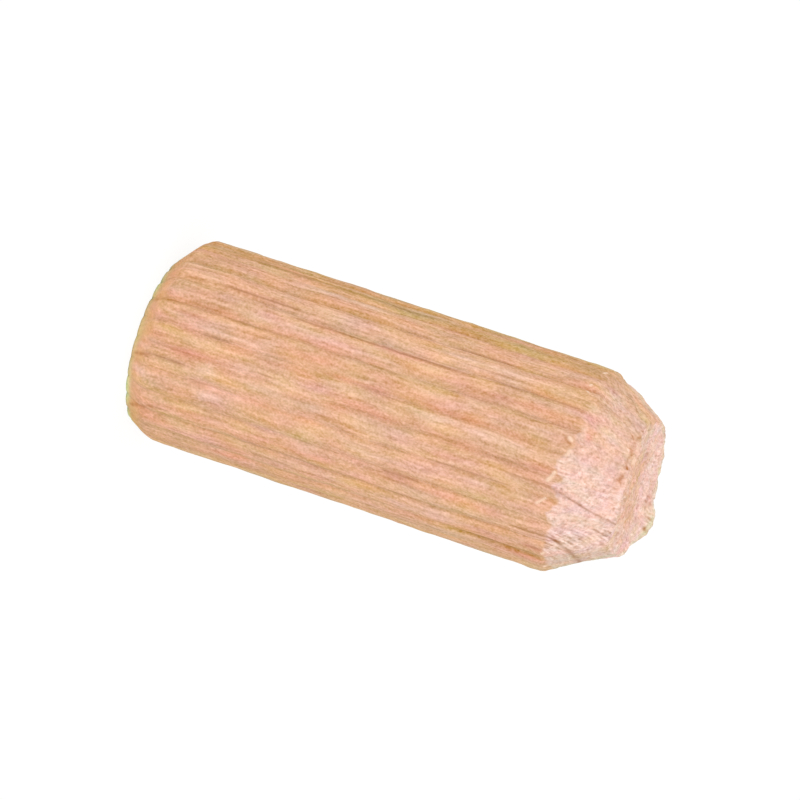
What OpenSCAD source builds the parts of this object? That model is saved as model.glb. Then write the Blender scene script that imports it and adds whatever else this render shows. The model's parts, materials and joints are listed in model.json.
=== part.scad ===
// Fluted hardwood dowel pin, standing on its cleanly cut end.
// The origin is the middle of the cut face, and +Z runs along the pin to its torn end.
// A flute lies straight along +X, and the others follow around the axis.

/* [Shank] */
// Diameter over the flat crowns of the ridges
pin_d = 10; // [8:0.5:16]
// Length of the shank at its full diameter
shank_l = 20.6; // [12:0.2:60]

/* [Flutes] */
// Number of flutes around the shank
flute_count = 26; // [18:1:32]
// Depth of a flute's root below the ridge crowns
flute_depth = 0.25; // [0.1:0.05:0.35]
// Depth that the sizing die shaves off each rounded ridge, which leaves its flat crown
crown_shave = 0.05; // [0.02:0.01:0.1]

/* [Cut end] */
// Length of the short chamfer on the cleanly cut end
chamfer_l = 1; // [0.4:0.1:3]
// Distance that this chamfer draws in, on the radius
chamfer_drop = 0.85; // [0.4:0.05:2]

/* [Torn end] */
// Length of the long taper on the torn end, up to the mean plane of the torn face
taper_l = 2.7; // [1.5:0.1:5]
// Distance that the taper draws in, on the radius
taper_drop = 1.65; // [0.6:0.05:2.5]
// Height of the tallest lump of torn wood over the mean plane
tear_height = 0.8; // [0.2:0.05:1]
// Largest unevenness of the torn face between its lumps
tear_rough = 0.08; // [0:0.01:0.15]
// Depth of the flat that is torn off one side of the taper
flat_drop = 0.4; // [0.1:0.05:0.8]
// Direction of that side, from +X towards +Y
flat_turn = 12; // [0:1:359]

/* [Grain] */
// Direction that the growth rings run in across the pin, from +X towards +Y
ring_turn = 78; // [0:1:180]
// Width of an opened ring
split_w = 0.12; // [0.06:0.01:0.3]
// Depth of an opened ring below the taper's surface
split_depth = 0.2; // [0.1:0.05:0.4]

/* [Hidden] */
$fn = 96;

pin_r = pin_d / 2;
cut_face_r = pin_r - chamfer_drop;
torn_face_r = pin_r - taper_drop;
shank_end_z = chamfer_l + shank_l;
torn_face_z = shank_end_z + taper_l;
tip_z = torn_face_z + tear_height;

// A ridge is a round back that would stand at round_r, and meets its neighbours at a flute's root.
flute_pitch = 360 / flute_count;
root_r = pin_r - flute_depth;
round_r = pin_r + crown_shave;
root_x = root_r * cos(flute_pitch / 2);
ridge_r = (pow(round_r, 2) + pow(root_r, 2) - 2 * round_r * root_x) / (2 * (round_r - root_x));
ridge_at = round_r - ridge_r;

// The torn face is a grid of points that reaches past the taper by a margin.
tear_margin = 0.6;
tear_reach = torn_face_r + tear_margin;
tear_cells = 14;
tear_seed = 11;
tear_noise = rands(-tear_rough, tear_rough, pow(tear_cells + 1, 2), tear_seed);

// Lumps and hollows of the torn face: direction from +X towards +Y, distance from the axis
// as a share of the face's radius, height as a share of tear_height, and width.
TEAR = [
    [64, 1.07, 1.00, 0.9],
    [135, 0.99, -0.15, 1.25],
    [108, 1.10, -0.24, 0.35],
    [164, 0.28, -0.26, 1.4],
    [217, 1.02, -0.26, 1.1],
    [291, 0.90, 0.15, 1.1],
    [332, 1.03, -0.14, 1.0]
];

// Growth rings that have opened on the taper: distance of each from the axis, as a share of the
// pin's radius.
RINGS = [-0.82, -0.48, 0.46];

// One lump's height over the mean plane at a point of the torn face.
function tear_lump(lump, x, y) =
    let (at = torn_face_r * lump[1])
    let (off = norm([x - at * cos(lump[0]), y - at * sin(lump[0])]))
    tear_height * lump[2] * exp(-pow(off / lump[3], 2));

function tear_lift(x, y) = [for (lump = TEAR) tear_lump(lump, x, y)] * [for (lump = TEAR) 1];

// Place of a grid line across the torn face.
function tear_line(i) = tear_reach * (2 * i / tear_cells - 1);

// Round backs of all the ridges, standing on the pin's core.
module fluted_section() {
    circle(r = ridge_at);
    for (i = [0 : flute_count - 1])
        rotate((i + 0.5) * flute_pitch)
            translate([ridge_at, 0])
                circle(r = ridge_r);
}

// The turned outline of the pin: chamfer, shank and taper, run on to the highest lump.
module turned_blank() {
    tip_r = torn_face_r - taper_drop / taper_l * tear_height;
    rotate_extrude()
        polygon([
            [0, 0],
            [cut_face_r, 0],
            [pin_r, chamfer_l],
            [pin_r, shank_end_z],
            [tip_r, tip_z],
            [0, tip_z]
        ]);
}

// Everything beyond the torn face.
module tear_off() {
    n = tear_cells;
    top = tip_z + tear_margin;
    low = [for (j = [0 : n], i = [0 : n])
        let (x = tear_line(i), y = tear_line(j))
        [x, y, torn_face_z + tear_lift(x, y) + tear_noise[j * (n + 1) + i]]];
    high = [for (p = low) [p[0], p[1], top]];
    up = len(low);
    cells = [for (j = [0 : n - 1], i = [0 : n - 1]) j * (n + 1) + i];
    rim = concat(
        [for (i = [0 : n - 1]) i],
        [for (j = [0 : n - 1]) j * (n + 1) + n],
        [for (i = [n : -1 : 1]) n * (n + 1) + i],
        [for (j = [n : -1 : 1]) j * (n + 1)]
    );
    side = [for (k = [0 : len(rim) - 1]) [rim[k], rim[(k + 1) % len(rim)]]];
    polyhedron(
        points = concat(low, high),
        faces = concat(
            [for (c = cells) [c, c + 1, c + n + 2]],
            [for (c = cells) [c, c + n + 2, c + n + 1]],
            [for (c = cells) [up + c, up + c + n + 2, up + c + 1]],
            [for (c = cells) [up + c, up + c + n + 1, up + c + n + 2]],
            [for (s = side) [s[0], up + s[0], up + s[1]]],
            [for (s = side) [s[0], up + s[1], s[1]]]
        )
    );
}

// Thin slots where growth rings have opened, no deeper than split_depth into the taper.
module opened_rings() {
    difference() {
        rotate(ring_turn)
            for (ring = RINGS)
                translate([-pin_d, pin_r * ring - split_w / 2, shank_end_z])
                    cube([2 * pin_d, split_w, tip_z]);
        translate([0, 0, shank_end_z - split_depth])
            cylinder(r1 = pin_r, r2 = torn_face_r, h = taper_l);
        cylinder(r = torn_face_r - split_depth, h = 3 * tip_z);
    }
}

// Everything outside the flat, which lies along the taper's slope.
module flat_off() {
    rotate(flat_turn)
        translate([pin_r - flat_drop, 0, shank_end_z])
            rotate([0, -atan(taper_drop / taper_l), 0])
                translate([0, -pin_d, -pin_d])
                    cube(2 * pin_d);
}

module dowel_pin() {
    color("burlywood")
        difference() {
            intersection() {
                linear_extrude(tip_z)
                    fluted_section();
                turned_blank();
            }
            tear_off();
            flat_off();
            opened_rings();
        }
}

dowel_pin();
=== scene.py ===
"""Looks of a fluted beech dowel pin that stands on its cut end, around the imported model.

Lengths are in millimetres until a mesh is made. Angles around the pin are in degrees from +X towards
+Y, so the side that faces the camera is at 270.
"""

import json
import math

import bpy
import numpy as np
from mathutils import Matrix, Vector


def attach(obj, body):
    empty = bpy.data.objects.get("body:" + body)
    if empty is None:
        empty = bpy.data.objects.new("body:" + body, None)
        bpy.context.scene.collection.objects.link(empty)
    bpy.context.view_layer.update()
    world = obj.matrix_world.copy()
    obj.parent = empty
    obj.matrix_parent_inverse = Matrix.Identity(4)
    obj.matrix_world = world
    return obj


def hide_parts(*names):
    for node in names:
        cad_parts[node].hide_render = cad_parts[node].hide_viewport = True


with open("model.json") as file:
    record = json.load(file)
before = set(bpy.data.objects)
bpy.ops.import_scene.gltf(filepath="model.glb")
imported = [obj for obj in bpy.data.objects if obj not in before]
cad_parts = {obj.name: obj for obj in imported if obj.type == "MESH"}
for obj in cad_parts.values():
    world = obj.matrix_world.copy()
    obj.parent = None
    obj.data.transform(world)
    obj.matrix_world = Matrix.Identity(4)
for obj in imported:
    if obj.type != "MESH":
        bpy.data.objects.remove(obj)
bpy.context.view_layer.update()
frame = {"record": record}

METRE = 1000.0
MOUNTS = {mount["name"]: mount for mount in frame["record"]["mounts"]}
SHANK = MOUNTS["shank"]

# The shank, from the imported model's own sizes
PIN_R = SHANK["dims"]["r_mm"]
SHANK_L = SHANK["dims"]["length_mm"]
SHANK_MID = SHANK["pos_m"][2] * METRE
SHANK_LOW = SHANK_MID - SHANK_L / 2
SHANK_HIGH = SHANK_MID + SHANK_L / 2

# The taper and the mean plane of the torn face, as in the part's source
TAPER_L = 2.7
TAPER_DROP = 1.65
TORN_FACE_Z = SHANK_HIGH + TAPER_L

# The cut end: its chamfer was turned a little off the axis, towards one side
CUT_FACE_R = 4.1
CUT_FACE_SHIFT = 0.24
CUT_FACE_TURN = 350
# Places where its edge bends in or out, and one where it is pressed flatter: degrees, how far, and
# width in degrees
CHAMFER_BENDS = [(222, -0.07, 25), (344, 0.05, 15)]
CHAMFER_FLAT = (188, 0.11, 22)

# Flutes, as in the part's source
FLUTES = 26
FLUTE_DEPTH = 0.25
CROWN_SHAVE = 0.05
PITCH = 360 / FLUTES

# Growth rings: the direction of their planes, and, for each one that has opened on the taper, its
# offset at the torn face, how much nearer the axis it starts, its half-width and its strength
RING_TURN = 78
RING_CRACKS = [(-2.34, 0.23, 0.05, 0.66), (-4.10, 0.13, 0.075, 0.65), (2.30, 0.00, 0.06, 0.30)]

# Lumps and hollows of the torn face: degrees, distance from the axis, height and width
TEAR = [
    (64, 3.6, 0.82, 0.9),
    (135, 3.3, -0.12, 1.25),
    (108, 3.7, -0.19, 0.35),
    (164, 0.95, -0.21, 1.4),
    (217, 3.4, -0.21, 1.1),
    (291, 3.0, 0.12, 1.1),
    (332, 3.45, -0.11, 1.0),
    (92, 3.0, 0.05, 2.2),
]

# Tongues and bays of the line where the taper starts: degrees, how far it moves, and width in degrees
TONGUES = [
    (246, 0.25, 9),
    (257, 0.25, 3.0),
    (269.5, -0.27, 4.5),
    (277.5, 0.28, 2.2),
    (281.6, -0.25, 1.8),
    (289.5, 0.22, 3.5),
    (298, -0.26, 2.0),
    (305, 0.20, 4.0),
    (229, 0.25, 6),
    (205, -0.1, 8),
]

# Dents (and, where the depth is negative, lumps) of the taper: degrees, height, half-width around,
# half-width along, and depth
DENTS = [
    (12, 21.7, 2.4, 2.7, 0.40),
    (173, 21.88, 0.8, 0.32, 0.20),
    (175, 23.4, 1.85, 0.75, -0.03),
    (228, 24.12, 0.14, 0.10, 0.06),
    (234, 24.02, 0.10, 0.16, 0.08),
    (243, 24.08, 0.14, 0.10, 0.08),
    (256, 24.08, 0.10, 0.10, 0.12),
    (266, 24.08, 0.18, 0.10, 0.10),
    (277, 24.05, 0.24, 0.08, 0.06),
]

# Figure of the wood, as streaks along it: degrees, half-width in degrees, lowest and highest point,
# and strength. They are olive, rose, warm light and pale.
OLIVE = [
    (202.5, 2.2, 3.0, 21.6, 1.1),
    (205.0, 3.0, 0.6, 3.2, 1.0),
    (206.5, 2.0, 10.5, 21.4, 0.9),
    (196.0, 4.0, 0.0, 21.6, 0.6),
    (221.5, 2.3, 0.8, 11.5, 0.9),
    (223.5, 1.6, 17.5, 21.4, 0.8),
    (236.5, 2.0, 1.0, 7.4, 0.6),
    (235.5, 1.6, 8.0, 12.5, 0.4),
    (237.0, 1.8, 14.8, 20.5, 0.8),
    (251.0, 1.4, 0.0, 21.0, 0.6),
    (286.0, 2.0, 4.6, 12.0, 0.4),
    (301.5, 2.4, 5.0, 20.5, 0.5),
    (316.5, 2.4, 1.6, 12.0, 1.0),
    (318.0, 1.6, 12.0, 21.4, 0.5),
    (329.5, 1.6, 1.2, 12.5, 1.0),
    (331.5, 2.6, 16.5, 21.6, 1.7),
    (343.0, 4.0, 0.0, 21.6, 0.7),
    (334.0, 12.0, 0.0, 0.9, 1.0),
]
ROSE = [
    (245.5, 2.6, 12.6, 21.9, 1.2),
    (255.5, 1.4, 1.4, 3.2, 1.0),
    (257.0, 2.4, 7.6, 13.0, 0.8),
    (266.5, 2.0, 4.4, 9.8, 1.2),
    (262.5, 1.2, 9.0, 12.5, 0.9),
    (262.0, 1.6, 13.0, 21.0, 0.6),
    (276.0, 2.6, 1.8, 4.0, 0.8),
    (275.5, 2.2, 11.3, 14.0, 0.8),
    (275.0, 2.6, 15.0, 21.8, 1.0),
    (308.5, 1.4, 2.2, 4.2, 0.9),
    (311.0, 1.6, 6.5, 12.5, 1.1),
    (308.0, 2.2, 12.5, 19.5, 0.8),
    (335.0, 1.2, 4.6, 6.0, 1.4),
    (334.5, 1.6, 19.6, 21.4, 1.8),
    (215.0, 3.0, 1.4, 3.6, 0.7),
    (216.0, 2.5, 11.0, 14.5, 0.7),
    (238.6, 1.2, 6.6, 15.6, 0.8),
    (324.5, 1.4, 20.6, 21.6, 1.6),
]
WARM = [
    (252.0, 5.0, 20.0, 21.6, 0.5),
]
PALE = [
    (213.0, 3.0, 6.6, 10.6, 0.8),
    (207.5, 1.6, 3.8, 6.5, 0.8),
    (228.0, 2.0, 1.0, 13.0, 0.5),
    (228.0, 2.2, 7.8, 9.6, 0.5),
    (229.0, 1.4, 14.0, 19.5, 0.8),
    (233.0, 1.0, 14.6, 18.6, 0.8),
    (245.0, 3.2, 5.2, 9.8, 1.0),
    (256.0, 2.2, 13.8, 17.0, 0.6),
    (255.5, 0.8, 18.2, 20.8, 1.0),
    (261.0, 1.6, 2.8, 5.8, 1.0),
    (262.4, 1.1, 5.0, 6.6, 0.5),
    (267.0, 1.8, 14.3, 20.2, 1.0),
    (276.5, 1.8, 5.0, 10.0, 0.8),
    (282.0, 2.6, 3.8, 4.6, 0.9),
    (295.5, 2.6, 3.8, 5.0, 1.2),
    (291.5, 2.0, 4.6, 7.0, 0.8),
    (294.0, 2.4, 10.0, 18.5, 0.4),
    (297.5, 1.0, 9.0, 17.5, 0.7),
    (305.3, 1.2, 7.0, 10.4, 0.9),
    # These two are painted highlights on the ridges close to the cut end
    (295.5, 1.6, 0.3, 1.2, 0.8),
    (275.5, 1.6, 0.4, 1.2, 0.7),
    (323.0, 2.8, 2.6, 5.0, 0.6),
    (324.0, 2.6, 13.6, 16.8, 0.6),
    # These four are painted highlights on the ridges close to the cut end
    (279.7, 1.3, 0.3, 0.9, 1.2),
    (294.0, 1.5, 0.3, 1.0, 1.2),
    (244.0, 2.0, 0.5, 1.4, 1.0),
    (258.0, 2.0, 0.4, 1.2, 0.8),
]

# Dark openings of the shank: degrees, half-width in millimetres, lowest and highest point, and strength
DARK = [
    (238.4, 0.055, 6.7, 15.6, 0.62),
    (236.4, 0.045, 16.2, 21.8, 0.45),
    (232.6, 0.06, 3.1, 7.6, 0.60),
    (233.6, 0.05, 1.0, 2.8, 0.25),
    (231.9, 0.03, 15.0, 19.2, 0.35),
    (230.8, 0.05, 20.0, 22.2, 0.35),
    (221.4, 0.06, 14.3, 17.9, 0.55),
    (219.3, 0.05, 18.0, 20.3, 0.40),
    (208.2, 0.06, 11.3, 13.2, 0.45),
    (250.8, 0.06, 0.9, 13.5, 0.36),
    (250.0, 0.05, 13.5, 21.5, 0.20),
    (255.7, 0.04, 1.3, 3.3, 0.22),
    (263.4, 0.055, 2.9, 5.0, 0.50),
    (264.2, 0.04, 11.5, 21.9, 0.28),
    (274.1, 0.03, 6.1, 7.6, 0.45),
    (278.3, 0.03, 15.3, 21.4, 0.25),
    (282.4, 0.06, 0.8, 3.2, 0.60),
    (282.7, 0.045, 18.9, 22.0, 0.45),
    (289.5, 0.045, 15.1, 19.6, 0.45),
    (294.3, 0.04, 11.4, 12.9, 0.35),
    (305.4, 0.06, 13.0, 15.5, 0.60),
    (305.6, 0.05, 3.9, 4.9, 0.45),
    (312.1, 0.05, 19.8, 22.2, 0.50),
    (312.8, 0.06, 1.4, 2.6, 0.45),
    (323.9, 0.06, 6.5, 9.0, 0.30),
    (330.6, 0.09, 12.3, 14.2, 0.45),
    (331.8, 0.12, 16.8, 21.5, 0.45),
    (202.6, 0.12, 3.5, 12.5, 0.30),
    (323.6, 0.06, 20.6, 21.5, 0.50),
]

# Slivers and crumbs of pale fibre at the torn end: two ends as (degrees, height), half-width, height
SLIVERS = [
    ((279.5, 21.22), (274.8, 21.43), 0.085, 0.10),
    ((293.5, 20.96), (289.6, 21.33), 0.05, 0.05),
    ((218.3, 21.28), (217.7, 21.32), 0.055, 0.06),
    ((222.8, 21.30), (224.2, 21.40), 0.045, 0.05),
    ((254.7, 21.54), (255.7, 21.68), 0.075, 0.09),
    ((261.4, 21.76), (264.0, 21.66), 0.05, 0.04),
    ((201.2, 21.42), (199.2, 21.48), 0.055, 0.03),
    ((345.5, 21.42), (343.0, 21.54), 0.07, 0.04),
    ((326.8, 21.50), (325.0, 21.62), 0.06, 0.03),
]
# Dark strokes of both ends, in the same form, with their strength in place of a height
STROKES = [
    ((283.2, 21.27), (284.5, 21.74), 0.06, 0.35),
    ((230.4, 21.6), (225.4, 22.65), 0.06, 0.30),
    ((197.8, 22.6), (206.6, 23.5), 0.07, 0.32),
    ((198.9, 21.7), (197.6, 22.2), 0.07, 0.30),
    # Along the lip, partly painted shadow under its edge
    ((299.1, 24.06), (301.8, 24.24), 0.05, 0.50),
]
# Brown, broken fibres in the same form: across the chamfer, beside a crumb, where they are partly its
# painted shadow, and along the lip, partly painted shadow under its raised edge
BROWN = [
    ((251.4, 0.15), (250.8, 1.6), 0.08, 0.38),
    ((287.0, 0.15), (283.3, 1.1), 0.08, 0.60),
    ((322.6, 0.3), (312.8, 1.7), 0.08, 0.60),
    ((254.1, 21.22), (256.6, 21.42), 0.05, 0.35),
    ((256.6, 21.42), (257.6, 21.68), 0.06, 0.50),
    ((206.6, 23.4), (207.7, 23.60), 0.06, 0.40),
    ((225.0, 24.16), (228.5, 24.06), 0.06, 0.45),
    ((230.4, 23.84), (233.4, 24.04), 0.06, 0.60),
    ((236.0, 24.06), (240.0, 24.12), 0.05, 0.30),
    ((240.4, 24.03), (242.4, 24.12), 0.08, 0.75),
    ((242.4, 24.12), (245.6, 24.16), 0.065, 0.60),
    ((246.5, 24.14), (253.0, 24.12), 0.06, 0.35),
    ((253.0, 24.06), (254.8, 24.18), 0.05, 0.50),
    ((254.8, 24.18), (256.8, 24.22), 0.06, 0.95),
    ((262.6, 24.15), (267.4, 24.08), 0.12, 0.55),
    ((268.4, 24.16), (271.4, 24.24), 0.05, 0.40),
    ((274.0, 24.08), (278.0, 24.04), 0.07, 0.30),
    ((289.0, 24.20), (291.5, 24.18), 0.05, 0.25),
]
# Small dark specks of the taper: degrees, height, half-width and strength
SPECKS = [
    (258.4, 22.98, 0.045, 0.30),
    (259.4, 23.14, 0.04, 0.35),
    (260.6, 23.06, 0.04, 0.25),
    (258.0, 23.22, 0.04, 0.25),
    (263.1, 21.85, 0.05, 0.40),
    (262.6, 21.66, 0.045, 0.25),
    (266.5, 22.27, 0.05, 0.35),
    (282.5, 21.87, 0.06, 0.50),
    (281.4, 21.62, 0.045, 0.30),
    (286.6, 22.15, 0.055, 0.55),
    (300.5, 21.92, 0.055, 0.45),
    (297.6, 21.66, 0.045, 0.25),
    (301.2, 22.62, 0.045, 0.25),
    (293.0, 22.40, 0.045, 0.25),
    (243.7, 22.99, 0.045, 0.35),
    (254.1, 23.41, 0.05, 0.20),
    (236.0, 23.30, 0.045, 0.25),
    (228.5, 22.80, 0.05, 0.25),
    (219.0, 23.10, 0.05, 0.20),
]
# Pale strips in the same form as the strokes: along the lip, partly a painted highlight on its raised
# edge, and scuffs across the grain near the cut end
STRIPS = [
    ((229.5, 24.10), (235.5, 24.20), 0.07, 0.50),
    ((257.5, 24.29), (266.0, 24.28), 0.06, 1.00),
    ((267.5, 24.30), (275.5, 24.28), 0.07, 0.70),
    ((276.0, 24.27), (287.6, 24.31), 0.09, 1.30),
    ((288.5, 24.27), (294.0, 24.24), 0.05, 0.60),
    ((303.0, 24.10), (309.0, 24.08), 0.05, 0.60),
    ((283.4, 3.70), (275.4, 4.50), 0.18, 1.20),
    ((298.4, 4.05), (291.2, 4.50), 0.20, 1.10),
    ((293.2, 0.62), (299.0, 0.70), 0.15, 0.80),
]
# Pits and pale crumbs of the torn face: place across the pin, half-width across and along the camera's
# side, depth and strength
# The brown of the pits is partly painted shade in their hollows
PITS = [
    (-1.74, -0.05, 0.09, 0.45, 0.05, 0.50),
    (-1.35, 0.40, 0.06, 0.55, 0.03, 0.35),
    (-0.61, -0.51, 0.12, 0.35, 0.04, 0.35),
    (0.13, 2.12, 0.07, 0.24, 0.04, 0.60),
    (0.36, 1.85, 0.07, 0.24, 0.04, 0.60),
    (0.43, 2.72, 0.07, 0.16, 0.04, 0.55),
    (1.08, 2.48, 0.08, 0.16, 0.05, 0.65),
    (1.60, 2.26, 0.11, 0.18, 0.06, 0.90),
    (2.29, -0.14, 0.08, 0.35, 0.04, 0.35),
    (2.38, 1.07, 0.16, 0.25, 0.02, 0.20),
    (0.60, -2.95, 0.18, 0.12, 0.02, 0.35),
]
CRUMBS = [
    (-1.90, -2.72, 0.30, 0.20, 0.90),
    (-1.20, -2.85, 0.24, 0.20, 1.00),
    (-0.59, -3.12, 0.22, 0.16, 0.80),
    (1.87, -2.57, 0.14, 0.20, 0.60),
    (0.57, 2.76, 0.10, 0.16, 0.80),
    (0.83, 2.79, 0.10, 0.12, 0.60),
    (-2.30, 0.75, 0.30, 0.50, 0.25),
]

# The scarp of the torn face: the arc of the lip that it follows, how far in it lies, and its height
SCARP_FROM, SCARP_TO = 222, 306
SCARP_R, SCARP_HALF, SCARP_HEIGHT = 2.85, 0.28, 0.14

# Roughness of the torn face: swing, size and seed of each noise
TORN_ROUGH = [(0.09, 0.9, 21), (0.07, 0.4, 22), (0.065, 0.2, 23), (0.03, 0.1, 24)]

# The side that faces the camera, and how the far side repeats the figure of the wood: turned by nearly
# half a turn, and end for end within a height
FRONT = 270
FAR_TURN = 174
FAR_HEIGHT = 22

# The view of the pin: its tilt towards the camera, how far its axis falls to the right, the distance
# from its middle, and how far that middle lies from the middle of the frame
VIEW_RISE = 15.33
VIEW_FALL = 18.31
VIEW_DISTANCE = 297.2
VIEW_RIGHT = -0.815
VIEW_UP = -0.276
SENSOR = 36.0
LENS = 284.6

# Mesh: the columns of a flute, and the rows of each stretch of the skin with the heights between them
COLUMNS_A_FLUTE = 20
CUT_ROWS = 4
CHAMFER_ROWS = 12
SHANK_ROWS = 52
SHANK_END_ROWS = 20
TAPER_ROWS = 53
TORN_ROWS = 51
CHAMFER_TOP = SHANK_LOW + 0.2
SHANK_TOP = SHANK_HIGH - 1.5
TAPER_LOW = SHANK_HIGH - 0.2


# ------------------------------------------------------------------ formulas


def smooth(low, high, value):
    """A smooth step from 0 at low to 1 at high."""
    part = np.clip((value - low) / (high - low), 0, 1)
    return part * part * (3 - 2 * part)


def bell(distance, half_width):
    """A bell of height 1: e to the power of minus the square of distance over half-width."""
    return np.exp(-((distance / half_width) ** 2))


def soft_min(a, b, blend):
    """The smaller of a and b, rounded off where they differ by less than blend."""
    share = np.clip(0.5 + 0.5 * (b - a) / blend, 0, 1)
    return b * (1 - share) + a * share - blend * share * (1 - share)


def turned(turn, at):
    """The angle from at to turn, between -180 and 180 degrees."""
    return (turn - at + 180) % 360 - 180


def around(turn, r, z):
    """Points at angles turn, in degrees, at distances r from the axis and heights z."""
    turn, r, z = np.broadcast_arrays(np.radians(turn), r, z)
    return np.stack([r * np.cos(turn), r * np.sin(turn), z], axis=-1)


def noise(points, size, seed):
    """Smooth noise from -1 to 1: seeded values on a lattice with cells of the given size, blended
    between the corners of each cell by smooth steps."""
    cells = np.asarray(points) / size
    low = np.floor(cells).astype(int)
    part = cells - low
    ease = part * part * (3 - 2 * part)
    side = 64
    values = np.random.default_rng(seed).uniform(-1, 1, (side, side, side))
    total = 0.0
    for corner in np.ndindex(2, 2, 2):
        weight = np.prod(np.where(corner, ease, 1 - ease), axis=-1)
        total = total + weight * values[tuple(np.moveaxis((low + corner) % side, -1, 0))]
    return total


def noise_at(x, y, z, size, seed):
    """The same noise, at three coordinates that are numbers or arrays."""
    return noise(np.stack(np.broadcast_arrays(x, y, z), axis=-1), size, seed)


def uneven(points, middle, swing, size, seed, low=0, high=1):
    """A strength that wanders about its middle by a swing times noise, held between low and high."""
    return np.clip(middle + swing * noise(points, size, seed), low, high)


def stroke(turn, z, ends, half_width):
    """A bell across the straight stroke between two ends, each given as degrees and height."""
    (turn_a, z_a), (turn_b, z_b) = ends
    x = np.radians(turned(turn, turn_a)) * PIN_R
    y = z - z_a
    run_x, run_y = math.radians(turned(turn_b, turn_a)) * PIN_R, z_b - z_a
    share = np.clip((x * run_x + y * run_y) / (run_x**2 + run_y**2), 0, 1)
    return bell(np.hypot(x - share * run_x, y - share * run_y), half_width)


# ------------------------------------------------------------------ shape


def fluted_radius(turn, z):
    """Radius of the fluted section: round ridge backs whose crowns are shaved to the pin's radius, with
    flutes that are deeper and shallower along their length."""
    root_r = PIN_R - FLUTE_DEPTH
    round_r = PIN_R + CROWN_SHAVE
    root_x = root_r * math.cos(math.radians(PITCH / 2))
    ridge_r = (round_r**2 + root_r**2 - 2 * round_r * root_x) / (2 * (round_r - root_x))
    ridge_at = round_r - ridge_r
    off = np.radians((turn % PITCH) - PITCH / 2)
    r = ridge_at * np.cos(off) + np.sqrt(ridge_r**2 - (ridge_at * np.sin(off)) ** 2)
    flute = np.round(turn / PITCH) % FLUTES
    depth = 0.6 + 0.35 * noise_at(flute * 5.1, z, 9.5, 4.0, 5)
    return PIN_R - (PIN_R - np.minimum(r, PIN_R)) * depth


def chamfer_radius(turn, z):
    """Radius of the chamfer's cone, which is off the axis and uneven, with the flutes pressed into it."""
    low = CUT_FACE_R + CUT_FACE_SHIFT * np.cos(np.radians(turn - CUT_FACE_TURN))
    for at, shift, width in CHAMFER_BENDS:
        low = low + shift * bell(turned(turn, at), width)
    pressed = 0.8 * (PIN_R - fluted_radius(turn, z))
    at, depth, width = CHAMFER_FLAT
    pressed = pressed + depth * bell(turned(turn, at), width)
    return low + (PIN_R - low) * z / SHANK_LOW - pressed + 0.04


def taper_start(turn):
    """Height at which the taper starts: an uneven line of tongues, bays and finer raggedness."""
    z = SHANK_HIGH
    for at, shift, width in TONGUES:
        z = z + shift * bell(turned(turn, at), width)
    spot = around(turn, PIN_R, 0.0)
    return z + 0.03 * noise(spot, 0.9, 30) + 0.05 * noise(spot, 0.45, 31) + 0.06 * noise(spot, 0.2, 32)


def taper_radius(turn, z):
    """Radius of the taper's cone, from its ragged start, with dents and torn fibres."""
    start = taper_start(turn)
    start = SHANK_HIGH + (start - SHANK_HIGH) * smooth(1.6, 0.2, z - start)
    r = PIN_R - TAPER_DROP / TAPER_L * (z - start)
    for at, height, wide, tall, depth in DENTS:
        across = np.radians(turned(turn, at)) * r
        r = r - depth * bell(across, wide) * bell(z - height, tall)
    spot = around(turn, PIN_R - TAPER_DROP / 2, z)
    return r + 0.05 * noise(spot, 0.6, 33) + 0.035 * noise(spot, 0.25, 34) + 0.02 * noise(spot, 0.12, 36)


def side_radius(turn, z):
    """Radius of the pin's side at a height: the fluted section, cut by the chamfer and by the taper."""
    r = soft_min(fluted_radius(turn, z), chamfer_radius(turn, z), 0.32)
    spot = around(turn, PIN_R, z)
    r = r + 0.028 * noise(spot, 0.9, 37) + 0.02 * noise(spot, 0.42, 38) - 0.012
    return soft_min(r, taper_radius(turn, z), 0.07)


def sliver_lift(turn, z):
    """How far the slivers stand proud of the side: the sum of their strokes, each times its height."""
    lift = 0.0
    for *ends, half_width, height in SLIVERS:
        lift = lift + height * stroke(turn, z, ends, half_width)
    return lift


def scarp(x, y):
    """The ridge of the scarp: a bell across its uneven distance from the axis, fading at its ends."""
    turn = np.degrees(np.arctan2(y, x)) % 360
    wander = 0.22 * noise_at(turn / 40, 0.5, 2.5, 0.35, 61)
    ends = smooth(SCARP_FROM, SCARP_FROM + 12, turn) * smooth(SCARP_TO, SCARP_TO - 14, turn)
    return ends * bell(np.hypot(x, y) - SCARP_R - wander, SCARP_HALF)


def torn_height(x, y):
    """Height of the torn face at a point across the pin: the mean plane, the sum of the lumps, each a
    bell of its height and width, less the pits, and finer noise."""
    z = np.full(np.shape(x), TORN_FACE_Z)
    for at, r, height, width in TEAR:
        turn = math.radians(at)
        z = z + height * bell(np.hypot(x - r * math.cos(turn), y - r * math.sin(turn)), width)
    for pit_x, pit_y, wide, tall, depth, _ in PITS:
        z = z - depth * bell(x - pit_x, wide) * bell(y - pit_y, tall)
    z = z + SCARP_HEIGHT * scarp(x, y)
    for swing, size, seed in TORN_ROUGH:
        z = z + swing * noise_at(x, y, 0.3, size, seed)
    return z


def lip(turn):
    """Radius and height of the torn lip: where the taper's cone meets the torn face, found by stepping
    along the cone to the face's height."""
    z = np.full(np.shape(turn), TORN_FACE_Z)
    for _ in range(12):
        r = side_radius(turn, z)
        z = 0.5 * z + 0.5 * torn_height(r * np.cos(np.radians(turn)), r * np.sin(np.radians(turn)))
    return side_radius(turn, z), z


def side_rows(turn, z):
    """Points of the side at the given heights, with its slivers."""
    return around(turn, side_radius(turn, z) + sliver_lift(turn, z), z)


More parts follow.
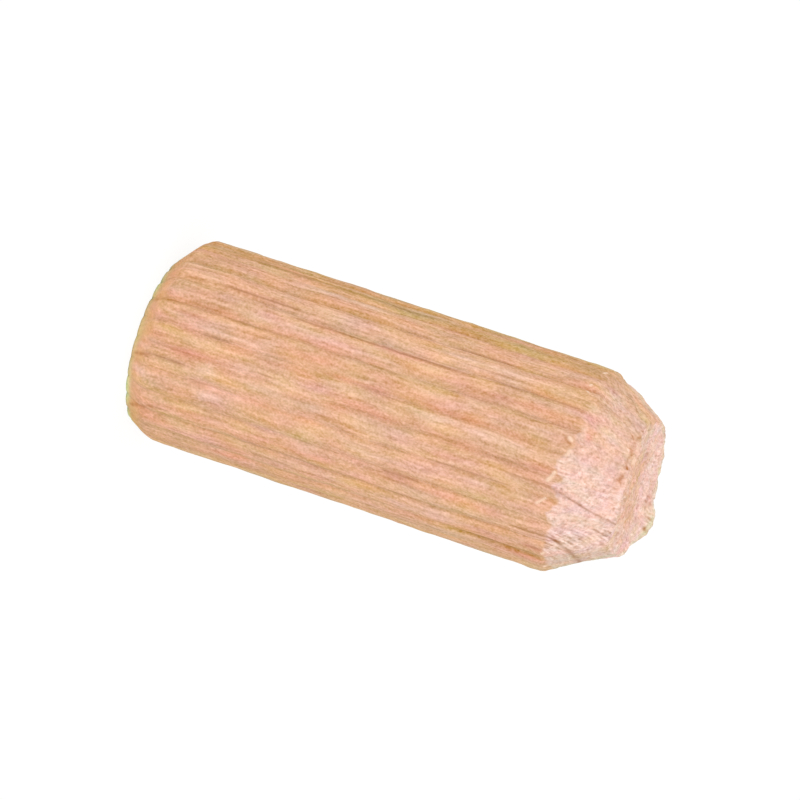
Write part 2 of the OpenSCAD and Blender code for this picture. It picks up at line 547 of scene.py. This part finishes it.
def pin_grid():
    """The pin's whole skin: its columns' angles, and its rows of points from the middle of the cut face
    out, up the side and in over the torn face to its middle. The torn face's rows are the lip's line
    drawn in by equal shares, and they meet the lip's own height at the lip."""
    turn = np.arange(FLUTES * COLUMNS_A_FLUTE) * PITCH / COLUMNS_A_FLUTE
    outward = np.linspace(0, 1, CUT_ROWS + 1)[1:-1, None]
    cut_face = around(turn, side_radius(turn, 0.0) * outward, 0.0)
    heights = [
        np.linspace(0, CHAMFER_TOP, CHAMFER_ROWS, endpoint=False),
        np.linspace(CHAMFER_TOP, SHANK_TOP, SHANK_ROWS, endpoint=False),
        np.linspace(SHANK_TOP, TAPER_LOW, SHANK_END_ROWS, endpoint=False),
    ]
    shank = side_rows(turn, np.concatenate(heights)[:, None])
    lip_r, lip_z = lip(turn)
    upward = np.linspace(0, 1, TAPER_ROWS)[:, None]
    taper = side_rows(turn, TAPER_LOW + (lip_z - TAPER_LOW) * upward)
    rim = around(turn, lip_r, 0.0)
    gap = lip_z - torn_height(rim[..., 0], rim[..., 1])
    inward = np.linspace(1, 0, TORN_ROWS + 1)[1:-1, None]
    face = around(turn, lip_r * inward, 0.0)
    face[..., 2] = torn_height(face[..., 0], face[..., 1]) + gap * inward**6
    return turn, np.concatenate([cut_face, shank, taper, face])


def closed_mesh(name, rows, low_pole, high_pole, attributes):
    """A closed mesh from rings of points: quads between rows, and triangles to a pole at each end.
    attributes holds one value a point for each name, poles last."""
    count, around_count = rows.shape[:2]
    points = np.concatenate([rows.reshape(-1, 3), [low_pole, high_pole]])
    index = np.arange(count * around_count).reshape(count, around_count)
    beside = np.roll(index, -1, axis=1)
    quads = np.stack([index[:-1], beside[:-1], beside[1:], index[1:]], axis=-1).reshape(-1, 4)
    low, high = len(points) - 2, len(points) - 1
    fan_low = np.stack([np.full(around_count, low), beside[0], index[0]], axis=-1)
    fan_high = np.stack([np.full(around_count, high), index[-1], beside[-1]], axis=-1)
    mesh = bpy.data.meshes.new(name)
    faces = quads.tolist() + fan_low.tolist() + fan_high.tolist()
    mesh.from_pydata((points / METRE).tolist(), [], faces)
    mesh.polygons.foreach_set("use_smooth", np.ones(len(faces), bool))
    for key, values in attributes.items():
        layer = mesh.attributes.new(key, "FLOAT", "POINT")
        layer.data.foreach_set("value", np.asarray(values, np.float32))
    mesh.update()
    piece = bpy.data.objects.new(name, mesh)
    bpy.context.scene.collection.objects.link(piece)
    return piece


# ------------------------------------------------------------------ masks of the finish


def and_far_side(at, low, high):
    """A streak's angle and its two heights, and those of its repeat on the far side, which is turned
    by about half a turn and end for end."""
    return (at, low, high), (at - FAR_TURN, FAR_HEIGHT - high, FAR_HEIGHT - low)


def streaks(turn, z, listed):
    """The sum of the listed streaks, each a bell across its angle that fades at both ends."""
    wander = 0.8 * noise(around(turn, PIN_R, z * 0.35), 0.8, 43)
    total = 0.0
    for at, half_width, low, high, strength in listed:
        fade = min(0.7, (high - low) / 3)
        for middle, z_low, z_high in and_far_side(at, low, high):
            ends = smooth(z_low - fade, z_low + fade, z) * smooth(z_high + fade, z_high - fade, z)
            total = total + strength * ends * bell(turned(turn + wander, middle), half_width)
    return total


def dark_openings(turn, z):
    """The strongest of the dark openings at each point: thin bells that wander a little and fade at
    both ends."""
    mask = 0.0
    for at, half_width, low, high, strength in DARK:
        fade = min(0.6, (high - low) / 3)
        for middle, z_low, z_high in and_far_side(at, low, high):
            wander = 0.3 * noise_at(middle * 1.7, z, 1.5, 1.4, 43)
            gap = np.radians(turned(turn, middle + wander)) * PIN_R
            ends = smooth(z_low, z_low + fade, z) * smooth(z_high, z_high - fade, z)
            mask = np.maximum(mask, strength * ends * bell(gap, half_width))
    return mask


class Skin:
    """The pin's skin as the masks read it: the columns' angles, the points with their distance r from
    the axis, which of them lie on the cut face, the side and the torn face, how far the wood is torn,
    and the rim, where the side turns away from the front."""

    def __init__(self, turn, rows):
        self.turn = turn
        self.rows = rows
        self.x, self.y, self.z = rows[..., 0], rows[..., 1], rows[..., 2]
        self.r = np.hypot(self.x, self.y)
        step = np.arange(len(rows))[:, None]
        lip_row = len(rows) - TORN_ROWS
        self.lip_r, self.lip_z = self.r[lip_row], self.z[lip_row]
        self.on_cut_face = step < CUT_ROWS - 1
        self.on_face = (step > lip_row) * np.ones(np.shape(self.z))
        self.on_side = 1 - self.on_face
        self.start = taper_start(turn)
        spread = 0.1 + 0.5 * smooth(252, 232, turn) * smooth(150, 190, turn)
        fuzz = 0.08 * noise(rows, 0.16, 51)
        self.torn = smooth(-spread / 2, spread * 1.5, self.z - self.start + fuzz)
        self.shank = 1 - self.torn
        from_front = np.abs(turned(turn, FRONT))
        self.flank = np.minimum(from_front, 180 - from_front)
        self.facing = smooth(96, 88, from_front) * (0.75 + 0.5 * noise(rows, 0.8, 66))
        self.lower = smooth(300, 320, turn)
        self.edge = smooth(76 - self.lower, 84 - self.lower, self.flank) * self.facing * self.on_side
        self.far_face = smooth(-0.8, 0.4, self.y) * self.on_face
        self.far_width = 0.10 + 0.36 * np.clip(self.y / 3.3, 0, 1)

    def streaks(self, listed):
        """The listed streaks, on the shank alone."""
        return streaks(self.turn, self.z, listed) * self.shank

    def strokes(self, listed):
        """The strongest of the listed strokes at each point of the side."""
        mask = 0.0
        for *ends, half_width, amount in listed:
            mask = np.maximum(mask, amount * stroke(self.turn, self.z, ends, half_width))
        return mask * self.on_side


def dark_and_painted_shade_mask(skin):
    """The strongest at each point of: painted shade along each flute's root, the dark openings, the opened
    growth rings of the taper, its dark strokes and specks, and small dots all over the torn wood."""
    turn, z, rows = skin.turn, skin.z, skin.rows
    # Painted shade: a fine dark line along the root of each flute
    across = np.radians((turn + PITCH / 2) % PITCH - PITCH / 2) * PIN_R
    flute = np.round(turn / PITCH) % FLUTES
    strength = np.clip(0.04 + 0.12 * noise_at(flute * 3.7, z, 4.5, 3.0, 41), 0, 1)
    dark = strength * bell(across, 0.12) * skin.shank
    dark = np.maximum(dark, dark_openings(turn, z) * smooth(0.6, 0.2, skin.torn * (z > skin.start + 0.3)))
    below_face = np.clip((TORN_FACE_Z + 0.1 - z) / TAPER_L, 0, 1)
    wander = 0.03 * noise(rows, 0.5, 52)
    broken = uneven(rows, 0.9, 0.4, 0.35, 53, low=0.6) * (skin.y < 0) * skin.torn * skin.on_side
    for offset, bend, half_width, amount in RING_CRACKS:
        crack = bell(ring_offset(rows) - offset - bend * below_face**3 + wander, half_width)
        dark = np.maximum(dark, amount * crack * broken)
    dark = np.maximum(dark, skin.strokes(STROKES))
    for at, height, half_width, amount in SPECKS:
        away = np.hypot(np.radians(turned(turn, at)) * skin.r, z - height)
        dark = np.maximum(dark, amount * bell(away, half_width) * skin.on_side)
    dots = smooth(0.5, 0.8, noise(rows, 0.11, 63)) * skin.torn
    return np.maximum(dark, 0.22 * dots)


def ring_offset(points):
    """Distance of points from the growth-ring plane through the axis, across the rings."""
    turn = math.radians(RING_TURN)
    return points[..., 1] * math.cos(turn) - points[..., 0] * math.sin(turn)


def brown_and_painted_shadow_mask(skin):
    """The strongest at each point of the brown broken fibres, partly painted shadow beside a crumb and
    along the lip, the brown pits of the torn face, partly painted shade in their hollows, and a broken
    line of painted shadow close under the lip at the front."""
    rows, turn = skin.rows, skin.turn
    brown = uneven(rows, 0.85, 0.8, 0.13, 65, 0.2, 1.2) * skin.strokes(BROWN)
    for pit_x, pit_y, wide, tall, _, amount in PITS:
        pit = bell(skin.x - pit_x, wide) * bell(skin.y - pit_y, tall) * skin.on_face
        brown = np.maximum(brown, amount * pit)
    front = smooth(222, 232, turn) * smooth(282, 262, turn)
    # Painted shadow: a broken line close under the lip's edge at the front
    below_lip = skin.lip_z - skin.z - 0.14 - 0.06 * noise(rows, 0.4, 57)
    line = bell(below_lip, 0.08) * uneven(rows, 0.45, 1.1, 0.22, 56) * front * skin.on_side
    return np.maximum(brown, 0.35 * line)


def olive_and_painted_shade_mask(skin):
    """The olive streaks, and olive on the lower rim, on two sides of the torn wood, and along the lip at
    the back of the torn face. On the lower rim and the lower side of the torn wood it is partly painted
    shade."""
    turn = skin.turn
    # Olive on the lower side of the torn wood, partly painted shade
    low_side = bell(turned(turn, 345), 24) * (1.0 + 0.8 * smooth(322, 338, turn))
    high_side = 1.2 * bell(turned(turn, 206), 7) + 0.7 * bell(turned(turn, 226), 6)
    # Olive on the lower rim, partly painted shade
    olive = skin.streaks(OLIVE) + 0.7 * skin.edge * skin.lower
    olive = olive + (low_side * (1 - 0.8 * skin.on_face) + high_side) * skin.torn
    return olive + 1.5 * bell(skin.lip_r - skin.r, 0.5 * skin.far_width) * skin.far_face


def rose_mask(skin):
    """The rose streaks, and a blush on the taper's front."""
    turn, z, rows = skin.turn, skin.z, skin.rows
    blush = bell(z - 22.3 - 0.15 * noise(rows, 0.5, 54), 0.28)
    blush = blush * smooth(233, 240, turn) * (smooth(256, 250, turn) + 0.4 * smooth(270, 260, turn))
    return skin.streaks(ROSE) + 1.25 * blush * (1 + 0.5 * noise(rows, 0.35, 59))


def pale_and_painted_highlight_mask(skin):
    """The pale streaks, a few of them painted highlights on the ridges by the cut end, and the pale strips,
    which are ragged, those along the lip partly a painted highlight on its raised edge.
    """
    pale = skin.streaks(PALE)
    ragged = uneven(skin.rows, 0.8, 0.8, 0.16, 58) * skin.on_side
    for *ends, half_width, amount in STRIPS:
        pale = pale + 1.2 * amount * ragged * stroke(skin.turn, skin.z, ends, half_width)
    return pale


def cream_mask(skin):
    """The slivers, and the crumbs of the torn face."""
    cream = 0.0
    for *ends, half_width, _ in SLIVERS:
        cream = np.maximum(cream, np.clip(1.7 * stroke(skin.turn, skin.z, ends, half_width), 0, 1))
    ragged = uneven(skin.rows, 0.8, 0.9, 0.16, 62) * skin.on_face
    for crumb_x, crumb_y, wide, tall, amount in CRUMBS:
        crumb = bell(skin.x - crumb_x, wide) * bell(skin.y - crumb_y, tall)
        cream = np.maximum(cream, amount * crumb * ragged)
    return cream


def flank_painted_shade_mask(skin):
    """Painted shade on the two flanks: a deeper tone there, which is weaker on the lower one."""
    # Painted shade: the flanks are darker, as where the light falls off
    tone = 0.5 * smooth(40, 72, skin.flank) + 0.6 * smooth(62, 80, skin.flank)
    from_front = turned(skin.turn, FRONT)
    lower_flank = smooth(0, 50, from_front) * smooth(180, 120, from_front)
    return tone * skin.shank * (1 - 0.8 * lower_flank)


def rim_tint_and_painted_light_mask(skin):
    """The greenish rim: around the cut end, where it is also painted light against the floor's contact
    shade, along the flanks, and behind the torn face.
    """
    # Painted light at the cut end, lifting the floor's contact shade, with a green tint
    cut_rim_tint_and_painted_light = 2.0 * bell(skin.z, 0.26) * ~skin.on_cut_face * skin.facing
    flank_rim = skin.edge * (0.35 - 0.15 * skin.lower + 0.1 * skin.torn * skin.lower)
    far_rim = 0.65 * bell(skin.lip_r - skin.r, skin.far_width) * skin.far_face
    return cut_rim_tint_and_painted_light + flank_rim + far_rim


def torn_mask(skin):
    """How pale and fuzzy the torn wood is: less on the taper's upper side, more away from it, with
    tan wood in the middle of the torn face, and half as much on the cut face."""
    x, y, rows = skin.x, skin.y, skin.rows
    from_upper = np.abs(turned(skin.turn, 196))
    taper = 0.15 + 0.40 * smooth(2, 16, from_upper) + 0.50 * smooth(54, 88, from_upper)
    tan = smooth(1.5, 0.0, y + 0.6 * noise(rows, 0.8, 61)) * smooth(-2.1, -1.2, x) * smooth(2.1, 1.4, x)
    mottled = np.clip(0.8 + 0.5 * noise(rows, 0.5, 64) + 0.5 * noise(rows, 0.17, 67), 0, 1)
    middle = 1 - 0.75 * tan * mottled
    inside = smooth(-0.15, 0.3, skin.lip_r - skin.r + 0.25 * noise(rows, 0.3, 60)) * skin.on_face
    torn = skin.torn * (taper * (1 - inside) + middle * inside)
    return np.maximum(torn, 0.45 * skin.on_cut_face)


def finish_masks(turn, rows):
    """The pin's masks for its material, by name, at each point."""
    skin = Skin(turn, rows)
    torn = torn_mask(skin)
    combed = 1.5 * smooth(303, 312, turn) * smooth(332, 320, turn)
    return {
        "dark": dark_and_painted_shade_mask(skin),
        "brown": brown_and_painted_shadow_mask(skin),
        "cream": cream_mask(skin),
        "olive": olive_and_painted_shade_mask(skin),
        "rose": rose_mask(skin),
        "pale": pale_and_painted_highlight_mask(skin),
        "warm": skin.streaks(WARM),
        # side: painted shade on the flanks
        "side": flank_painted_shade_mask(skin),
        # cut: painted light on the chamfer, against the floor's shade
        "cut": smooth(SHANK_LOW + 0.1, SHANK_LOW - 0.45, skin.z) * ~skin.on_cut_face,
        # rim: greenish, and painted light at the cut end
        "rim": rim_tint_and_painted_light_mask(skin),
        "torn": torn,
        "comb": combed * torn * skin.on_side,
        "face": skin.on_face,
    }


# ------------------------------------------------------------------ material

# Changes of colour where each mask is 1: of the streaks, which the flecks break up, and of the rest
STREAK_TINTS = {
    # olive: olive wood, partly painted shade on the lower side and rim
    "olive": (-0.085, -0.037, -0.060),
    "rose": (-0.008, -0.045, -0.030),
    # pale: pale wood, with painted highlights by the cut end and along the lip
    "pale": (0.060, 0.060, 0.080),
    "warm": (0.090, 0.060, 0.035),
}
TINTS = {
    # side: painted shade on the flanks
    "side": (-0.085, -0.052, -0.075),
    # cut: painted light on the chamfer, against the shade that the floor casts there
    "cut": (0.090, 0.065, 0.015),
    # rim: a green tint, and painted light at the cut end
    "rim": (-0.010, 0.180, 0.090),
    "torn": (0.105, 0.140, 0.215),
}
# Colours that cover the wood where their mask is 1, the last one on top
COVERS = {
    "cream": (0.99, 0.69, 0.51, 1),
    # brown: broken fibres and pits, with painted shadow under the lip and beside a crumb
    "brown": (0.42, 0.135, 0.01, 1),
    # dark: openings, cracks and specks, with painted shade in the flutes
    "dark": (0.32, 0.122, 0.026, 1),
}


class Wire:
    """An output of a shader node. The operators add Math nodes, on wires and plain numbers alike."""

    def __init__(self, tree, socket):
        self.tree = tree
        self.socket = socket

    def add(self, kind, settings=None, values=None, out=0):
        """A new node of the given kind: its settings are set first, then its sockets, by name or
        number, to values or wires. Returns the wire of one of its outputs."""
        node = self.tree.nodes.new(kind)
        for key, value in (settings or {}).items():
            setattr(node, key, value)
        for key, value in (values or {}).items():
            if isinstance(value, Wire):
                self.tree.links.new(value.socket, node.inputs[key])
            else:
                node.inputs[key].default_value = value
        return Wire(self.tree, node.outputs[out])

    def math(self, operation, first, second):
        return self.add("ShaderNodeMath", {"operation": operation}, {0: first, 1: second})

    def __add__(self, other):
        return self.math("ADD", self, other)

    def __sub__(self, other):
        return self.math("SUBTRACT", self, other)

    def __mul__(self, other):
        return self.math("MULTIPLY", self, other)

    def __rsub__(self, other):
        return self.math("SUBTRACT", other, self)

    __radd__ = __add__
    __rmul__ = __mul__


def new_material(name):
    """A material with only its output and a Principled shader. Returns it, the shader's own wire to
    build on, and the shader's node."""
    material = bpy.data.materials.new(name)
    material.use_nodes = True
    tree = material.node_tree
    shader = tree.nodes["Principled BSDF"]
    return material, Wire(tree, shader.outputs[0]), shader


def mapped(place, settings):
    """A place moved, turned or scaled by a Mapping node."""
    return place.add("ShaderNodeMapping", {"vector_type": "POINT"}, {"Vector": place, **settings})


def grain(place, size, seed, detail=0.0, distortion=0.0):
    """Noise around 0 with cells of the given size along X, Y and Z."""
    at = mapped(place, {"Location": (seed, seed * 1.7, seed * 0.3), "Scale": [1 / s for s in size]})
    values = {"Vector": at, "Scale": 1.0, "Detail": detail, "Roughness": 0.6, "Distortion": distortion}
    return at.add("ShaderNodeTexNoise", {}, values) - 0.5


def fibres(place, width, length, seed, detail=0.0, distortion=0.0):
    """Noise around 0 in fibres of a width and a length along the pin."""
    return grain(place, (width, width, length), seed, detail, distortion)


def tinted(colour, amount, change):
    """A colour wire plus an amount of a fixed change of colour."""
    shift = amount.add("ShaderNodeVectorMath", {"operation": "SCALE"}, {0: change, "Scale": amount})
    return shift.add("ShaderNodeVectorMath", {"operation": "ADD"}, {0: colour, 1: shift})


def mixed(factor, a, b):
    """Colour a where the factor is 0 and b where it is 1."""
    settings = {"data_type": "RGBA", "clamp_factor": True}
    return factor.add("ShaderNodeMix", settings, {"Factor": factor, 6: a, 7: b}, out=2)


def attribute(wire, name):
    """One of the masks, which the mesh holds as a value at each point."""
    return wire.add("ShaderNodeAttribute", {"attribute_name": name}, out="Fac")


def swaying_place(wire):
    """Object coordinates in millimetres, pushed about a little, so that the fibres aren't dead straight."""
    place = wire.add("ShaderNodeTexCoord", out="Object")
    place = place.add("ShaderNodeVectorMath", {"operation": "SCALE"}, {0: place, "Scale": METRE})
    sway = [grain(place, (2.5, 2.5, 3.5), seed) * 0.45 for seed in (41.0, 43.0)]
    sway = place.add("ShaderNodeCombineXYZ", {}, {0: sway[0], 1: sway[1], 2: 0.0})
    return place.add("ShaderNodeVectorMath", {"operation": "ADD"}, {0: place, 1: sway})


def torn_fuzz(place, across_rings, face):
    """Fuzz of the torn wood: finer and ringed on the taper, and combed one way on the torn face."""
    side_fuzz = grain(across_rings, (0.5, 0.09, 0.45), 37.0) * 0.6
    side_fuzz = side_fuzz + grain(place, (0.15, 0.15, 0.17), 23.0, 1.0) * 0.9
    face_fuzz = grain(place, (0.14, 0.6, 0.4), 25.0, 1.0) * 1.3
    return side_fuzz * (1.0 - face) + face_fuzz * face + grain(place, (0.9, 0.9, 0.9), 29.0) * 0.4


def beech():
    """Raw beech: pink-tan fibres along the pin with olive, rose and pale streaks, dark openings, and
    pale fuzzy torn wood."""
    material, wire, shader = new_material("beech")
    place = swaying_place(wire)
    cut, torn = attribute(wire, "cut"), attribute(wire, "torn")

    long_fibres = fibres(place, 0.15, 14.0, 1.0) * 0.26 + fibres(place, 0.14, 5.0, 3.0) * 0.23
    flecks = fibres(place, 0.14, 1.4, 5.0, 0.0, 0.4) * 0.28
    jitter = fibres(place, 0.13, 0.26, 9.0, 0.0, 0.5) * 0.34 + fibres(place, 0.08, 0.11, 11.0) * 0.38
    light = long_fibres + flecks + jitter
    yellow = fibres(place, 0.6, 6.0, 13.0, 1.0) * 5.2 + fibres(place, 0.6, 1.6, 15.0) * 5.0
    green = fibres(place, 0.8, 6.0, 17.0, 1.0) * 4.5 + fibres(place, 0.6, 1.6, 19.0) * 4.2
    across_rings = mapped(place, {"Rotation": (0, 0, -math.radians(RING_TURN))})
    stripes = grain(across_rings, (2.2, 0.09, 0.5), 31.0) * 1.3
    fuzz = torn_fuzz(place, across_rings, attribute(wire, "face"))

    colour = tinted((0.776, 0.449, 0.276), light * (1.0 - cut * 0.55), (0.75, 0.55, 0.54))
    colour = tinted(colour, yellow, (-0.019, -0.009, 0.0127))
    colour = tinted(colour, green, (-0.0168, 0.0146, -0.0017))
    flecked = flecks * 3.0 + 1.0
    for name, change in STREAK_TINTS.items():
        colour = tinted(colour, attribute(wire, name) * flecked, change)
    # Among these, side is painted shade; cut, and the rim at the cut end, are painted light
    for name, change in TINTS.items():
        colour = tinted(colour, attribute(wire, name), change)
    colour = tinted(colour, torn * fuzz, (0.26, 0.32, 0.34))
    colour = tinted(colour, attribute(wire, "comb") * stripes, (0.50, 0.45, 0.45))
    for name, cover in COVERS.items():
        colour = mixed(attribute(wire, name), colour, cover)
    wire.tree.links.new(colour.socket, shader.inputs["Base Color"])
    shader.inputs["Roughness"].default_value = 0.8
    shader.inputs["Specular IOR Level"].default_value = 0.2

    height = light * (1.0 - cut * 0.7) + torn * fuzz * 0.8
    bump = light.add("ShaderNodeBump", {}, {"Strength": 0.5, "Distance": 0.00004, "Height": height})
    wire.tree.links.new(bump.socket, shader.inputs["Normal"])
    return material


def white_floor():
    """A white floor that the camera sees as white, apart from the pin's soft shadow."""
    material, wire, shader = new_material("white_floor")
    shader.inputs["Base Color"].default_value = (0.9, 0.9, 0.9, 1)
    shader.inputs["Roughness"].default_value = 1.0
    shader.inputs["Specular IOR Level"].default_value = 0.0
    rays = ("Is Camera Ray", "Is Glossy Ray", "Is Transmission Ray")
    camera, glossy, transmission = [wire.add("ShaderNodeLightPath", out=ray) for ray in rays]
    share = (camera + glossy + transmission) * 0.85
    glow = wire.add("ShaderNodeEmission", {}, {"Color": (1, 1, 1, 1), "Strength": 1.06})
    both = wire.add("ShaderNodeMixShader", {}, {0: share, 1: wire, 2: glow})
    wire.tree.links.new(both.socket, wire.tree.nodes["Material Output"].inputs["Surface"])
    return material


# ------------------------------------------------------------------ pieces


def make_pin():
    """The pin itself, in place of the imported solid."""
    turn, rows = pin_grid()
    masks = finish_masks(turn, rows)
    poles = {"torn": (0.45, 1.0)}
    attributes = {key: np.append(mask.ravel(), poles.get(key, (0, 0))) for key, mask in masks.items()}
    high_pole = (0, 0, float(torn_height(np.array(0.0), np.array(0.0))))
    pin = closed_mesh("pin", rows, (0, 0, 0), high_pole, attributes)
    pin.data.materials.append(beech())
    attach(pin, "root")
    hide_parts("dowel_pin")
    return pin


def make_floor():
    """A wide floor under the pin."""
    half = 3.0
    corners = [(-half, -half, 0), (half, -half, 0), (half, half, 0), (-half, half, 0)]
    mesh = bpy.data.meshes.new("floor")
    mesh.from_pydata(corners, [], [(0, 1, 2, 3)])
    mesh.materials.append(white_floor())
    floor = bpy.data.objects.new("floor", mesh)
    bpy.context.scene.collection.objects.link(floor)


def make_lights():
    """A white dome all round, and a soft frontal lamp."""
    world = bpy.data.worlds.new("dome")
    bpy.context.scene.world = world
    world.use_nodes = True
    background = world.node_tree.nodes["Background"]
    background.inputs["Color"].default_value = (1, 1, 1, 1)
    background.inputs["Strength"].default_value = 0.88
    lamp = bpy.data.lights.new("softbox", "SUN")
    lamp.energy = 0.6
    lamp.angle = math.radians(25)
    front = bpy.data.objects.new("softbox", lamp)
    towards = Vector((-0.1, -1.0, 0.55))
    front.rotation_euler = towards.to_track_quat("Z", "Y").to_euler()
    bpy.context.scene.collection.objects.link(front)


def make_camera():
    """The camera: looking along +Y from a low rise, and turned about its line of sight, so that the
    standing pin lies across the frame."""
    rise = math.radians(VIEW_RISE)
    roll = math.radians(90 + VIEW_FALL)
    back = Vector((0, -math.cos(rise), math.sin(rise)))
    level = Vector((1, 0, 0))
    upright = back.cross(level)
    right = level * math.cos(roll) + upright * math.sin(roll)
    up = upright * math.cos(roll) - level * math.sin(roll)
    aim = Vector((0, 0, SHANK_MID)) - right * VIEW_RIGHT - up * VIEW_UP
    data = bpy.data.cameras.new("camera")
    data.lens = LENS
    data.sensor_width = SENSOR
    data.clip_start = 0.01
    camera = bpy.data.objects.new("camera", data)
    turn = Matrix((right, up, back)).transposed().to_4x4()
    camera.matrix_world = Matrix.Translation((aim + back * VIEW_DISTANCE) / METRE) @ turn
    bpy.context.scene.collection.objects.link(camera)
    bpy.context.scene.camera = camera


make_camera()
make_pin()
make_floor()
make_lights()
bpy.context.scene.view_settings.view_transform = "Standard"
